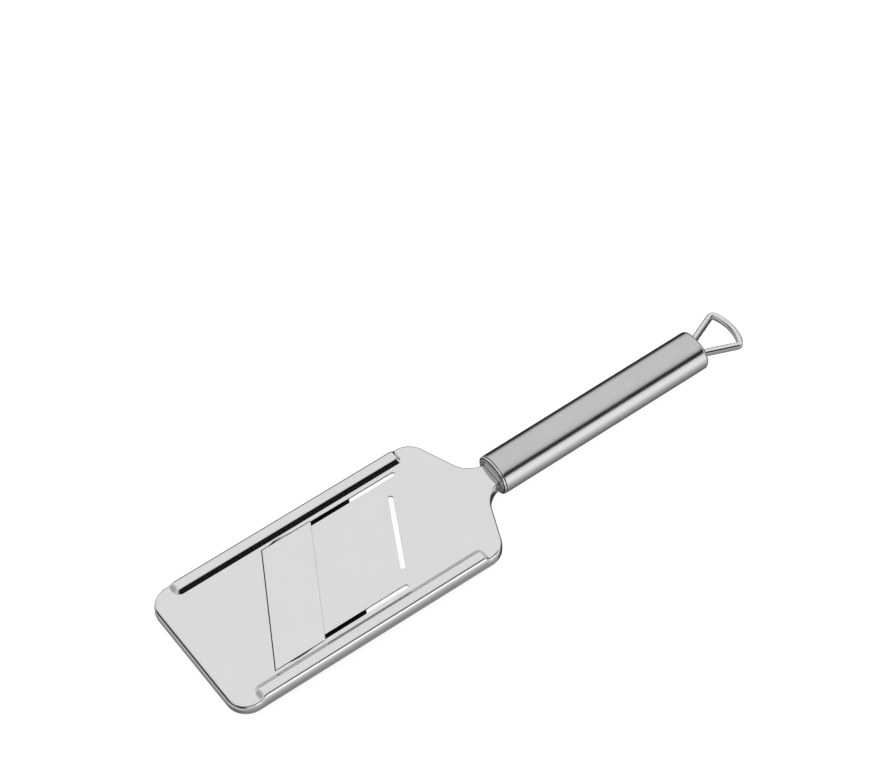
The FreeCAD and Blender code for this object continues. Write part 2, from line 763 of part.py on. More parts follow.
def make_front_cap():
    """Polished front cap with the slot for the neck."""
    body = new_body("front_cap")
    nose = oval_sketch(body, "cap_section", v("cap_inset"), "-dims.cap_front")
    pad(body, nose, "cap_nose", "dims.cap_front")
    fillet(body, "cap_edge", lambda p: abs(p.x + v("cap_front")) < 1e-3, "dims.cap_round")
    plug = oval_sketch(body, "plug_section", v("tube_wall") + v("fit"))
    pad(body, plug, "cap_plug_in", "dims.cap_plug")
    slot = new_sketch(body, "YZ_Plane", "neck_slot", "-dims.cap_front - 1")
    side = v("neck_half") + v("slot_clear")
    up = -v("handle_drop") + v("slot_clear")
    down = up - (v("skirt_depth") - v("tang_step")) - 2 * v("slot_clear")
    draw_polygon(slot, [(-side, down), (side, down), (side, up), (-side, up)])
    pocket(body, slot, "neck_way", "dims.cap_front + dims.cap_plug + 2", reverse=True)
    return body


def leg_line(x, offset):
    """Upper leg of the loop: y at x, shifted sideways by an offset."""
    slope = math.radians(v("loop_angle"))
    y = v("loop_exit") + math.tan(slope) * (x - v("tube_len"))
    return y + offset / math.cos(slope)


def make_rear_cap():
    """Stepped plug that closes the tube and holds the loop's legs."""
    body = new_body("rear_cap")
    flange = oval_sketch(body, "flange_section", v("tube_wall") + v("fit"), "dims.plug_front")
    pad(body, flange, "cap_flange", "dims.plug_step - dims.plug_front")
    boss = oval_sketch(body, "boss_section", v("rear_open") + v("fit"), "dims.plug_step")
    pad(body, boss, "cap_boss", "dims.plug_back - dims.plug_step")
    legs = new_sketch(body, "XY_Plane", "leg_ways")
    wide = v("loop_w") / 2 + 0.05
    low, high = v("plug_front") - 0.8, v("plug_back") + 1
    for side in (1, -1):
        draw_polygon(legs, [
            (low, side * leg_line(low, -wide)),
            (high, side * leg_line(high, -wide)),
            (high, side * leg_line(high, wide)),
            (low, side * leg_line(low, wide)),
        ])
    pocket(body, legs, "leg_slots", "dims.loop_h + 0.1", midplane=True)
    return body


def loop_side(offset):
    """Corner and bow points of the loop's centre line shifted by an offset (upper half)."""
    slope = math.radians(v("loop_angle"))
    along = Vec(math.cos(slope), math.sin(slope), 0)
    inward = Vec(math.sin(slope), -math.cos(slope), 0)
    on_leg = Vec(v("tube_len"), v("loop_exit"), 0)
    bow_c = Vec(v("loop_bow_x"), 0, 0)
    # centre of the corner arc: one radius inside the leg and inside the bow
    start = on_leg + inward * v("loop_corner") - bow_c
    reach = v("loop_bow_r") - v("loop_corner")
    half_b = start.dot(along)
    travel = -half_b + math.sqrt(half_b ** 2 - start.dot(start) + reach ** 2)
    corner = bow_c + start + along * travel
    small, large = v("loop_corner") + offset, v("loop_bow_r") + offset
    outward = (corner - bow_c).normalize()
    leave = corner - inward * small
    middle = corner + (outward - inward).normalize() * small
    meet = corner + outward * small
    first = Vec(v("loop_start"), leg_line(v("loop_start"), offset), 0)
    apex = bow_c + Vec(large, 0, 0)
    return first, leave, middle, meet, apex


def make_loop():
    """Hanging loop bent from a flat strip with rounded edges."""
    body = new_body("hanging_loop")
    sketch = new_sketch(body, "XY_Plane", "loop_plan")
    ends = []
    for offset in (v("loop_w") / 2, -v("loop_w") / 2):
        first, leave, middle, meet, apex = loop_side(offset)
        low = [Vec(p.x, -p.y, 0) for p in (first, leave, middle, meet)]
        draw_edges(sketch, [
            Part.LineSegment(first, leave),
            Part.Arc(leave, middle, meet),
            Part.Arc(meet, apex, low[3]),
            Part.Arc(low[3], low[2], low[1]),
            Part.LineSegment(low[1], low[0]),
        ])
        ends.append((first, low[0]))
    draw_edges(sketch, [
        Part.LineSegment(ends[0][0], ends[1][0]),
        Part.LineSegment(ends[0][1], ends[1][1]),
    ])
    pad(body, sketch, "loop_strip", "dims.loop_h", midplane=True)
    half = v("loop_h") / 2
    tip = body.Tip
    chosen = []
    for i, edge in enumerate(tip.Shape.Edges, start=1):
        flat = all(abs(abs(p.Point.z) - half) < 1e-6 for p in edge.Vertexes)
        at_end = all(abs(p.Point.x - v("loop_start")) < 0.01 for p in edge.Vertexes)
        if flat and not at_end:
            chosen.append("Edge%d" % i)
    rounding = body.newObject("PartDesign::Fillet", "loop_edges")
    rounding.Base = (tip, chosen)
    rounding.setExpression("Radius", "dims.loop_round")
    doc.recompute()
    return body


tube = make_tube()
front_cap = make_front_cap()
rear_cap = make_rear_cap()
loop = make_loop()
for piece in (tube, front_cap, rear_cap, loop):
    place_on_handle(piece)
doc.recompute()

# ---------------------------------------------------------------- check and export

NODES = [
    plate, blade, bed, ramp, bridge, bush, screw, knob, washer, pad_piece, spring,
    tube, front_cap, rear_cap, loop,
]
for obj in doc.Objects:
    if "Invalid" in obj.State or "Error" in obj.State:
        raise RuntimeError("%s is %s" % (obj.Name, obj.State))
total = FreeCAD.BoundBox()
for node in NODES:
    shape = node.Shape
    if shape.isNull() or not shape.isValid():
        raise RuntimeError("%s has no valid shape" % node.Label)
    total.add(shape.BoundBox)
    print("%-16s solids %d volume %9.2f  x %7.2f..%7.2f  y %6.2f..%6.2f  z %6.2f..%6.2f" % (
        node.Label, len(shape.Solids), shape.Volume, shape.BoundBox.XMin, shape.BoundBox.XMax,
        shape.BoundBox.YMin, shape.BoundBox.YMax, shape.BoundBox.ZMin, shape.BoundBox.ZMax))
    shape.exportStep("parts/%s.step" % node.Label)
print("total x %.3f..%.3f y %.3f..%.3f z %.3f..%.3f" % (
    total.XMin, total.XMax, total.YMin, total.YMax, total.ZMin, total.ZMax))
doc.saveAs("/tmp/slicer.FCStd")
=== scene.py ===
import math

import bmesh
import bpy
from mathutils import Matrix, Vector
from mathutils.geometry import delaunay_2d_cdt


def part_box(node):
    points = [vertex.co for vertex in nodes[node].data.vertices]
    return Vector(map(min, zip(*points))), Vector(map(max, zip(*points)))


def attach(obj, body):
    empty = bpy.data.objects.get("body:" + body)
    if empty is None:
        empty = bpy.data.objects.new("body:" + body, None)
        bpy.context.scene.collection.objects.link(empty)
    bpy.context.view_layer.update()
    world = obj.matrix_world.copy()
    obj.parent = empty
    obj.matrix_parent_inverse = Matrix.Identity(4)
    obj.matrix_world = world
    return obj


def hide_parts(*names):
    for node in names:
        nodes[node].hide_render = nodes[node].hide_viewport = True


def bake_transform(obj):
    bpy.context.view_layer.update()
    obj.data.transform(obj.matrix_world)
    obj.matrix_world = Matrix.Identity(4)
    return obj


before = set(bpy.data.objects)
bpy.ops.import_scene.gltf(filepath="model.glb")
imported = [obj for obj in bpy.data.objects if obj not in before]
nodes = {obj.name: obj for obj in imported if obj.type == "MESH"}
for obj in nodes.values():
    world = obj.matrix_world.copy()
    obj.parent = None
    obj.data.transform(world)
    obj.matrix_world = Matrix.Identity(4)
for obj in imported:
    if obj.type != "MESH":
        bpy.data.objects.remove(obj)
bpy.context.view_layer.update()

MM = 0.001
PLATE_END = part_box("slicing_plate")[0].x      # outer wall of the plate's free end
PLATE_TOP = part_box("slicing_blade")[1].z      # slicing face

# sizes of the pressed sheet, in millimetres
SHEET = 0.9
HALF = 39.0
SKIRT = 5.7
BEND_R, BEND_TURN = 2.2, 72.0                 # tight bend, then the drafted skirt
LOW_BEND_R, LOW_BEND_TURN = 1.5, 76.0         # the same where there is no rail
END_IN = 0.45                                 # free end set back inside its envelope
DRAFT_R = 10.0                                # hollow of the drafted skirt
RIM_LAND = 0.6                                # upright stretch left above the rim
END_R = 10.8
SHOULDER_R = 11.5
SHOULDER_X = 143.65
NECK_HALF = 6.9
NECK_R = 14.0
NECK_X = 174.0
TANG_X, TANG_END = 171.0, 188.0               # where the shallower tang starts and ends
TANG_STEP = 0.8
RAIL_FOOT = 30.5
RAIL_SLOPE = math.radians(38)
RAIL_FOOT_R, RAIL_WALL, RAIL_CREST_R = 0.4, 1.75, 2.7
RAIL_START = 12.5
RAIL_END = 142.5
RAIL_RAMP, RAIL_RAMP_REAR = 3.8, 2.8           # run-out of a rail at its two ends
WINDOW_X, WINDOW_HALF, SKEW = 42.78, 29.12, 0.557
CUT_X = 71.0
RAMP_HALF, RAMP_GAP, SLIT_OUT = 26.4, 0.08, 28.7
TIP_X, TIP_SKEW = 119.1, 0.58
HINGE_X, HINGE_SKEW = 116.4, 0.52
SLOT_W, SLOT_FAR, SLOT_NEAR = 2.65, 17.0, -17.6
LEDGES = ((1, 27.3, 0.565), (-1, -1.3, 0.44))  # side, middle x, slope down to the blade
LEDGE_HALF, LEDGE_W = 6.9, 1.05
FLEX_W = 8.0                                  # width over which the ramp bends, off its hinge line
BRIDGE_REACH = 1.0                            # the bridge reaches on by this, under the cutting edge
TOUCH = 0.01                                  # tolerance on the edge of an opening

# how finely the sheet is cut, in millimetres or in steps
FINE, COARSE, PLAIN = 0.4, 3.0, 2.0           # rail ends, long straights, shoulders and neck
WALL_ZONE, RAIL_ZONE = 8.0, 9.0               # cut finely at a rail's ends, on the wall and the rail
BEND_STEPS, DRAFT_STEPS = 11, 8
GRID_X, GRID_Y, GRID_COLS, GRID_ROWS = 0.28, 0.35, 26, 18      # over the run-outs of the rails
LEDGE_CELL, LEDGE_ROWS = 0.54, 3
WINDOW_STEPS = 60
FLEX_ROWS = 10

# rounding of the sheet's cut edges, in metres
PLATE_EDGE, TONGUE_EDGE = 0.00011, 0.0001

RAIL_PARTS = (
    RAIL_FOOT_R * math.sin(RAIL_SLOPE),
    RAIL_WALL,
    RAIL_CREST_R * math.sin(RAIL_SLOPE),
)
RAIL_W = sum(RAIL_PARTS)
RAIL_CREST = RAIL_FOOT + RAIL_W

# handle group
HANDLE_X, HANDLE_Z, TILT = 173.9, -2.5, math.radians(0.9)
TUBE_A, TUBE_B, TUBE_TOP_R = 10.75, 9.0, 17.0
TUBE_LEN = 123.4
TUBE_WALL, TUBE_LIP, TUBE_ROLL = 1.0, 0.35, 2.0      # wall, softened front edge, rolled rear edge


def plate_point(x, y, z):
    """Plate millimetres to the frame's metres."""
    return Vector((PLATE_END + x * MM, y * MM, PLATE_TOP + z * MM))


def handle_point(x, y, z):
    """Handle millimetres (x from the tube's front edge, on its axis) to metres."""
    c, s = math.cos(TILT), math.sin(TILT)
    return plate_point(HANDLE_X + c * x - s * z, y, HANDLE_Z + s * x + c * z)


# ------------------------------------------------------------------ mesh helpers

def add_object(name, mesh):
    """Link a mesh as a new object at the origin."""
    obj = bpy.data.objects.new(name, mesh)
    bpy.context.scene.collection.objects.link(obj)
    return obj


def smooth(mesh, degrees):
    """Smooth shading with sharp edges above an angle."""
    for poly in mesh.polygons:
        poly.use_smooth = True
    mesh.set_sharp_from_angle(angle=math.radians(degrees))


def mesh_from(name, verts, faces, merge=1e-6):
    """Mesh from points and faces, merged and with outward normals."""
    mesh = bpy.data.meshes.new(name)
    mesh.from_pydata([tuple(v) for v in verts], [], faces)
    bm = bmesh.new()
    bm.from_mesh(mesh)
    bmesh.ops.remove_doubles(bm, verts=bm.verts, dist=merge)
    bmesh.ops.recalc_face_normals(bm, faces=bm.faces)
    bm.to_mesh(mesh)
    bm.free()
    return mesh


def loft(name, rings, close_start=False, close_end=False):
    """Skin over closed rings of equal point counts."""
    count = len(rings[0])
    verts = [p for ring in rings for p in ring]
    faces = []
    for r in range(len(rings) - 1):
        a, b = r * count, (r + 1) * count
        for i in range(count):
            j = (i + 1) % count
            faces.append((a + i, a + j, b + j, b + i))
    if close_start:
        faces.append(tuple(range(count)))
    if close_end:
        faces.append(tuple(range(len(verts) - count, len(verts))))
    return mesh_from(name, verts, faces)


def bevel(obj, width, segments=2, degrees=35):
    """Round the hard edges of an object."""
    mod = obj.modifiers.new("edges", "BEVEL")
    mod.width = width
    mod.segments = segments
    mod.limit_method = "ANGLE"
    mod.angle_limit = math.radians(degrees)
    mod.harden_normals = False
    return mod


# ------------------------------------------------------------------ pressed sheet

def arc(cx, cy, radius, start, end, step=3.0, inward=False):
    """Outline samples (point, outward normal) along an arc, degrees."""
    count = max(2, int(abs(end - start) / step))
    out = []
    for i in range(count + 1):
        t = math.radians(start + (end - start) * i / count)
        n = Vector((math.cos(t), math.sin(t)))
        out.append((Vector((cx, cy)) + n * radius, -n if inward else n))
    return out


def line(a, b, normal, step):
    """Outline samples along a straight run."""
    a, b = Vector(a), Vector(b)
    count = max(1, int((b - a).length / step))
    return [(a.lerp(b, i / count), Vector(normal)) for i in range(count + 1)]


def outline():
    """Samples (point, outward normal) of the plate's outer wall, tang end to tang end."""
    a = Vector((SHOULDER_X, HALF - SHOULDER_R))
    b = Vector((NECK_X, NECK_HALF + NECK_R))
    gap = b - a
    swing = math.acos((SHOULDER_R + NECK_R) / gap.length)
    heading = math.degrees(math.atan2(gap.y, gap.x) + swing)
    n = Vector((math.cos(math.radians(heading)), math.sin(math.radians(heading))))
    upper = arc(END_IN + END_R, HALF - END_R, END_R, 180, 90)
    stops = (END_IN + END_R, RAIL_START + WALL_ZONE, RAIL_END - WALL_ZONE, SHOULDER_X)
    for low, high, step in zip(stops, stops[1:], (FINE, COARSE, FINE)):
        upper += line((low, HALF), (high, HALF), (0, 1), step)[1:]
    upper += arc(a.x, a.y, SHOULDER_R, 90, heading)[1:]
    upper += line(a + n * SHOULDER_R, b - n * NECK_R, n, PLAIN)[1:]
    upper += arc(b.x, b.y, NECK_R, heading + 180, 270, inward=True)[1:]
    upper += line((NECK_X, NECK_HALF), (TANG_END, NECK_HALF), (0, 1), PLAIN)[1:]
    side = line((END_IN, -(HALF - END_R)), (END_IN, HALF - END_R), (-1, 0), COARSE)
    lower = [(Vector((p.x, -p.y)), Vector((m.x, -m.y))) for p, m in reversed(upper)]
    return lower[:-1] + side + upper[1:]


def rail_profile(s):
    """Height of a rail at a distance in from its foot: foot arc, wall, crest arc."""
    foot, wall, crest = RAIL_PARTS
    rise = math.tan(RAIL_SLOPE)
    if s <= 0:
        return 0.0
    if s < foot:
        return RAIL_FOOT_R - math.sqrt(RAIL_FOOT_R ** 2 - s * s)
    low = RAIL_FOOT_R * (1 - math.cos(RAIL_SLOPE))
    if s < foot + wall:
        return low + (s - foot) * rise
    top = low + wall * rise + RAIL_CREST_R * (1 - math.cos(RAIL_SLOPE))
    left = max(RAIL_W - s, 0)
    return top - RAIL_CREST_R + math.sqrt(RAIL_CREST_R ** 2 - left * left)


def bend_reach(radius, turn):
    """How far in from the wall a bend starts."""
    return radius * math.sin(turn) + DRAFT_R * (1 - math.sin(turn))


BEND = bend_reach(BEND_R, math.radians(BEND_TURN))


def skirt_section(top, depth, rail):
    """Outer wall section: (inset from the wall, height) from the top face to the rim.

    rail runs from 0 (no rail, tighter bend) to 1 (full rail, wide bend).
    """
    radius = LOW_BEND_R + (BEND_R - LOW_BEND_R) * rail
    turn = math.radians(LOW_BEND_TURN + (BEND_TURN - LOW_BEND_TURN) * rail)
    reach = bend_reach(radius, turn)
    section = [(BEND, top)]
    for i in range(BEND_STEPS + 1):
        t = turn * i / BEND_STEPS
        section.append((reach - radius * math.sin(t), top - radius * (1 - math.cos(t))))
    fall = section[-1][1]
    arc_drop = DRAFT_R * math.cos(turn)
    scale = min(1.0, (fall + depth) / (arc_drop + RIM_LAND))
    for i in range(1, DRAFT_STEPS + 1):
        t = turn + (math.pi / 2 - turn) * i / DRAFT_STEPS
        out = DRAFT_R * (1 - math.sin(t))
        section.append((out, fall - DRAFT_R * (math.cos(turn) - math.cos(t)) * scale))
    section.append((0.0, -depth))
    return section


def dent(x, y):
    """Shallow lens-shaped ledge falling towards each side of the blade."""
    for side, middle, slope in LEDGES:
        u = (x - WINDOW_X - middle) / LEDGE_HALF
        over = WINDOW_HALF + LEDGE_W * (1 - u * u) - side * y
        if side * y > WINDOW_HALF - TOUCH and abs(u) < 1 and over > 0:
            return slope * over
    return 0.0


def height(x, y):
    """Height of the sheet's top face above the slicing face."""
    over_y = max(RAIL_CREST - abs(y), 0) / RAIL_W
    low, high = RAIL_START + RAIL_RAMP, RAIL_END - RAIL_RAMP_REAR
    over_x = max((low - x) / RAIL_RAMP, (x - high) / RAIL_RAMP_REAR, 0)
    rail = rail_profile(RAIL_W * (1 - math.hypot(over_x, over_y)))
    return rail - dent(x, y)


def skewed(x_mid, skew, y):
    """x of a slanting line at y."""
    return x_mid + skew * y


def stadium(ax, ay, bx, by, radius, count=10):
    """Closed slot outline with round ends."""
    heading = math.atan2(by - ay, bx - ax)
    points = []
    for cx, cy, turn in ((bx, by, -90), (ax, ay, 90)):
        for i in range(count + 1):
            t = heading + math.radians(turn + 180 * i / count)
            points.append((cx + radius * math.cos(t), cy + radius * math.sin(t)))
    return points


SLIT_R = (SLIT_OUT - RAMP_HALF) / 2
SLIT_Y = (SLIT_OUT + RAMP_HALF) / 2
SLITS = []
for side in (1, -1):
    tip = skewed(TIP_X, TIP_SKEW, side * SLIT_Y) - SLIT_R
    back = skewed(CUT_X - 4, SKEW, side * SLIT_Y)
    SLITS.append((back, side * SLIT_Y, tip, side * SLIT_Y))
SLOT = (
    skewed(HINGE_X, HINGE_SKEW, SLOT_NEAR), SLOT_NEAR,
    skewed(HINGE_X, HINGE_SKEW, SLOT_FAR), SLOT_FAR,
)


def in_stadium(x, y, ends, radius):
    """Whether a point lies in a slot with round ends."""
    ax, ay, bx, by = ends
    d = Vector((bx - ax, by - ay))
    t = (Vector((x - ax, y - ay)).dot(d)) / d.length_squared
    near = Vector((ax, ay)) + d * min(max(t, 0), 1)
    return (Vector((x, y)) - near).length < radius


def in_slots(x, y):
    """Whether a point lies in a slit or in the relief slot."""
    slit = any(in_stadium(x, y, ends, SLIT_R) for ends in SLITS)
    return slit or in_stadium(x, y, SLOT, SLOT_W / 2)


def in_window(x, y):
    """Whether a point lies in the blade's window."""
    left, right = skewed(WINDOW_X, SKEW, y), skewed(CUT_X, SKEW, y)
    return left < x < right + TOUCH and abs(y) < WINDOW_HALF


def in_tongue(x, y):
    """Whether a point lies between the cutting edge, the slits and the hinge line."""
    left, right = skewed(CUT_X, SKEW, y), skewed(HINGE_X, HINGE_SKEW, y)
    return left - TOUCH < x < right and abs(y) < RAMP_HALF


def sheet_of(points, chains, keep, level):
    """Triangulated sheet over points and closed or open chains of constraint lines."""
    verts = [Vector(p) for p in points]
    edges = []
    for chain, closed in chains:
        first = len(verts)
        verts += [Vector(p) for p in chain]
        count = len(chain)
        edges += [(first + i, first + i + 1) for i in range(count - 1)]
        if closed:
            edges.append((first + count - 1, first))
    co, _, faces, _, _, _ = delaunay_2d_cdt(verts, edges, [], 0, 1e-5, False)
    kept = []
    for face in faces:
        cx = sum(co[i].x for i in face) / len(face)
        cy = sum(co[i].y for i in face) / len(face)
        if keep(cx, cy):
            kept.append(tuple(face))
    used = sorted({i for face in kept for i in face})
    index = {old: new for new, old in enumerate(used)}
    flat = [(co[i].x, co[i].y, level(co[i].x, co[i].y)) for i in used]
    return flat, [tuple(index[i] for i in face) for face in kept]


def baked(obj):
    """Replace an object's mesh by its evaluated one."""
    bpy.context.view_layer.update()
    mesh = bpy.data.meshes.new_from_object(obj.evaluated_get(bpy.context.evaluated_depsgraph_get()))
    obj.modifiers.clear()
    obj.data = mesh
    return mesh


def even_normals(obj):
    """Weight vertex normals by face area, so that flats stay flat beside small roundings."""
    mod = obj.modifiers.new("normals", "WEIGHTED_NORMAL")
    mod.mode = "FACE_AREA"
    mod.weight = 80
    mod.keep_sharp = True


def on_seam(point):
    """Whether a point lies on the line where the ramp flexes out of the plate."""
    x = (point.x - PLATE_END) / MM
    y = point.y / MM
    return abs(x - skewed(HINGE_X, HINGE_SKEW, y)) < 0.02


def thicken(name, verts, faces, thickness, edge_round, degrees=24):
    """Give a surface its sheet thickness downwards and soften its cut edges."""
    mesh = mesh_from(name, verts, faces, 2e-6)
    up = sum(p.normal.z * p.area for p in mesh.polygons)
    if up < 0:
        mesh.flip_normals()
    obj = add_object(name, mesh)
    shell = obj.modifiers.new("sheet", "SOLIDIFY")
    shell.thickness = thickness
    shell.offset = -1
    shell.use_even_offset = True
    # the rim faces, which are the sheet's cut edges, take the second material: near-black painted shade
    shell.material_offset_rim = 1
    mesh.materials.append(plate_steel)
    mesh.materials.append(edge_shade_steel)
    mesh = baked(obj)
    bm = bmesh.new()
    bm.from_mesh(mesh)
    weight = bm.edges.layers.float.new("bevel_weight_edge")
    for edge in bm.edges:
        if len(edge.link_faces) != 2 or edge.calc_face_angle() < math.radians(60):
            continue
        middle = (edge.verts[0].co + edge.verts[1].co) / 2
        if not on_seam(middle):
            edge[weight] = 1.0
    bm.to_mesh(mesh)
    bm.free()
    cut = obj.modifiers.new("edges", "BEVEL")
    cut.width = edge_round
    cut.segments = 2
    cut.limit_method = "WEIGHT"
    mesh = baked(obj)
    mesh.name = name
    smooth(mesh, degrees)
    even_normals(obj)
    return obj


def inside_outline(x, y, loop):
    """Whether a point lies inside a closed outline, by counting crossings."""
    hit = False
    for i in range(len(loop)):
        (ax, ay), (bx, by) = loop[i - 1], loop[i]
        if (ay > y) != (by > y) and x < (bx - ax) * (y - ay) / (by - ay) + ax:
            hit = not hit
    return hit


def rail_chains():
    """Lines along both rails wherever their section turns."""
    foot, wall, crest = RAIL_PARTS
    rows = [RAIL_FOOT - 0.4, RAIL_FOOT] + [RAIL_FOOT + foot * i / 3 for i in (1, 2, 3)]
    rows += [RAIL_FOOT + foot + wall / 2]
    rows += [RAIL_FOOT + foot + wall + crest * i / 6 for i in range(7)]
    along = stations(RAIL_START - 2, RAIL_END + 2)
    return [([(x, side * y) for x in along], False) for side in (1, -1) for y in rows]


def run_out_points():
    """Grid over both ends of each rail."""
    points = []
    for side in (1, -1):
        for column in range(GRID_COLS):
            for low in (RAIL_START - 1.0, RAIL_END - RAIL_RAMP_REAR - 2.0):
                x = low + GRID_X * column
                for row in range(GRID_ROWS):
                    points.append((x, side * (RAIL_FOOT - 0.3 + GRID_Y * row)))
    return points


def ledge_points():
    """Points over the ledge on each side of the blade."""
    points = []
    reach = int(LEDGE_HALF / LEDGE_CELL)
    for side, middle, _ in LEDGES:
        for i in range(-reach, reach + 1):
            u = LEDGE_CELL * i / LEDGE_HALF
            crest = LEDGE_W * (1 - u * u)
            for k in range(1, LEDGE_ROWS + 1):
                y = WINDOW_HALF + crest * k / LEDGE_ROWS
                points.append((WINDOW_X + middle + LEDGE_CELL * i, side * y))
    return points


def add_skirt(verts, faces, samples, inner):
    """Add the bend and the skirt wall round the outline to a sheet's points and faces."""
    first = len(verts)
    per = len(skirt_section(0.0, SKIRT, 1.0))
    for (p, n), q in zip(samples, inner):
        depth = SKIRT if q.x < TANG_X else SKIRT - TANG_STEP
        top = height(q.x, q.y)
        for inset, z in skirt_section(top, depth, min(top / rail_profile(RAIL_W), 1.0)):
            out = p - n * inset
            verts.append(plate_point(out.x, out.y, z))
    for s in range(len(samples) - 1):
        a, b = first + s * per, first + (s + 1) * per
        for i in range(per - 1):
            faces.append((a + i, b + i, b + i + 1, a + i + 1))


def build_plate():
    """Plate with rails, shoulders, neck and skirt as one bent sheet."""
    samples = outline()
    inner = [p - n * BEND for p, n in samples]
    loop = [tuple(p) for p in inner]
    chains = [(loop, True)] + rail_chains()
    chains.append((corner_loop(WINDOW_X, CUT_X, WINDOW_HALF), True))
    chains.append((tongue_loop(0.0), True))
    chains += slot_chains()

    def keep(x, y):
        hole = in_window(x, y) or in_tongue(x, y) or in_slots(x, y)
        return not hole and inside_outline(x, y, loop)

    flat, faces = sheet_of(run_out_points() + ledge_points(), chains, keep, height)
    verts = [plate_point(*p) for p in flat]
    add_skirt(verts, faces, samples, inner)
    return thicken("plate_sheet", verts, faces, SHEET * MM, PLATE_EDGE)


def stations(low, high):
    """x stations of a rail line, dense at its ends."""
    out = []
    x = low
    while x < high:
        out.append(x)
        dense = x < low + RAIL_ZONE or x > high - RAIL_ZONE
        x += FINE if dense else COARSE
    out.append(high)
    return out


def slot_chains():
    """Outlines of the two slits and the relief slot."""
    return [(stadium(*ends, SLIT_R), True) for ends in SLITS] + [(stadium(*SLOT, SLOT_W / 2, 14), True)]


def corner_loop(x_left, x_right, half):
    """Parallelogram between two lines of the blade's skew, its long sides cut fine."""
    share = [x_left + (x_right - x_left) * i / WINDOW_STEPS for i in range(WINDOW_STEPS + 1)]
    near = [(skewed(x, SKEW, -half), -half) for x in share]
    return near + [(skewed(x, SKEW, half), half) for x in reversed(share)]


def tongue_loop(gap):
    """Outline of the flexing ramp, out to the hinge line."""
    half = RAMP_HALF
    return [
        (skewed(CUT_X + gap, SKEW, -half), -half),
        (skewed(HINGE_X, HINGE_SKEW, -half), -half),
        (skewed(HINGE_X, HINGE_SKEW, half), half),
        (skewed(CUT_X + gap, SKEW, half), half),
    ]


def build_tongue():
    """The flexing ramp, flush with the plate at rest."""
    chains = [(tongue_loop(RAMP_GAP), True), (stadium(*SLOT, SLOT_W / 2, 14), True)]
    for ends in SLITS:
        chains.append((stadium(*ends, SLIT_R), True))
    # cross rows parallel to the hinge line, where the sheet bends
    for i in range(1, FLEX_ROWS + 1):
        x = HINGE_X - FLEX_W * i / FLEX_ROWS * math.hypot(1.0, HINGE_SKEW)
        row = [(skewed(x, HINGE_SKEW, y), y) for y in (-RAMP_HALF, RAMP_HALF)]
        chains.append((row, False))

    def keep(x, y):
        left = skewed(CUT_X + RAMP_GAP, SKEW, y)
        return left < x and in_tongue(x, y) and not in_slots(x, y)

    flat, faces = sheet_of([], chains, keep, lambda x, y: 0.0)
    verts = [plate_point(*p) for p in flat]
    return thicken("ramp_tongue", verts, faces, SHEET * MM, TONGUE_EDGE)


# ------------------------------------------------------------------ handle group

def oval(inset, count=96):
    """Points (y, z) of the tube section, made smaller by an inset."""
    a, b, big = TUBE_A - inset, TUBE_B - inset, TUBE_TOP_R - inset
    small = (big ** 2 - a ** 2 - (big - b) ** 2) / (2 * (big - a))
    side = a - small
    join = math.atan2(big - b, side)
    points = []
    for i in range(count):
        t = 2 * math.pi * i / count
        sy = 1 if math.cos(t) >= 0 else -1
        sz = 1 if math.sin(t) >= 0 else -1
        f = math.asin(abs(math.sin(t)))
        if f > join:
            y, z = big * math.cos(f), big * math.sin(f) - (big - b)
        else:
            y, z = side + small * math.cos(f), small * math.sin(f)
        points.append((sy * y, sz * z))
    return points


def oval_rings(stops):
    """Rings of handle points for (x, inset) stops."""
    return [[handle_point(x, y, z) for y, z in oval(inset)] for x, inset in stops]


def round_stops(x, inset, radius, start, end, steps, sign=1):
    """Stops round an edge: angle 0 on the side wall, 90 on the end face."""
    out = []
    for i in range(steps + 1):
        t = math.radians(start + (end - start) * i / steps)
        out.append((x + sign * radius * math.sin(t), inset + radius * (1 - math.cos(t))))
    return out


def build_tube():
    """Brushed oval tube, front edge softened and rear edge rolled in."""
    stops = [(6.0, TUBE_WALL), (TUBE_LIP, TUBE_WALL), (0.05, 0.95)]
    stops += round_stops(TUBE_LIP, 0.0, TUBE_LIP, 90, 0, 4, -1)
    stops += [(x, 0.0) for x in (1.5, 6, 20, 40, 60, 80, 100, 115, 120)]
    stops += round_stops(TUBE_LEN - TUBE_ROLL, 0.0, TUBE_ROLL, 0, 90, 9)
    stops += [(TUBE_LEN, 2.6), (TUBE_LEN, 3.0), (TUBE_LEN - 0.15, 3.2), (TUBE_LEN - 2.4, 3.2)]
    mesh = loft("tube", oval_rings(stops))
    smooth(mesh, 40)
    return add_object("brushed_tube", mesh)


CAP_BEAD_R, CAP_EDGE_R = 0.46, 0.42           # bead behind the groove, edge of the front face
CAP_FACE_X, CAP_FACE_IN = -1.86, 3.4          # front face, and how far in it runs
CAP_HOLE_Y, CAP_HOLE_UP, CAP_HOLE_DOWN = NECK_HALF + 0.3, 2.85, 2.7


def neck_way():
    """Points (y, z) of the cap's way for the neck, one to each point of the oval."""
    points = []
    for y, z in oval(CAP_FACE_IN):
        t = max(abs(y) / CAP_HOLE_Y, z / CAP_HOLE_UP if z > 0 else -z / CAP_HOLE_DOWN, 1e-6)
        points.append((y / t, z / t) if t > 1 else (y, z))
    return points


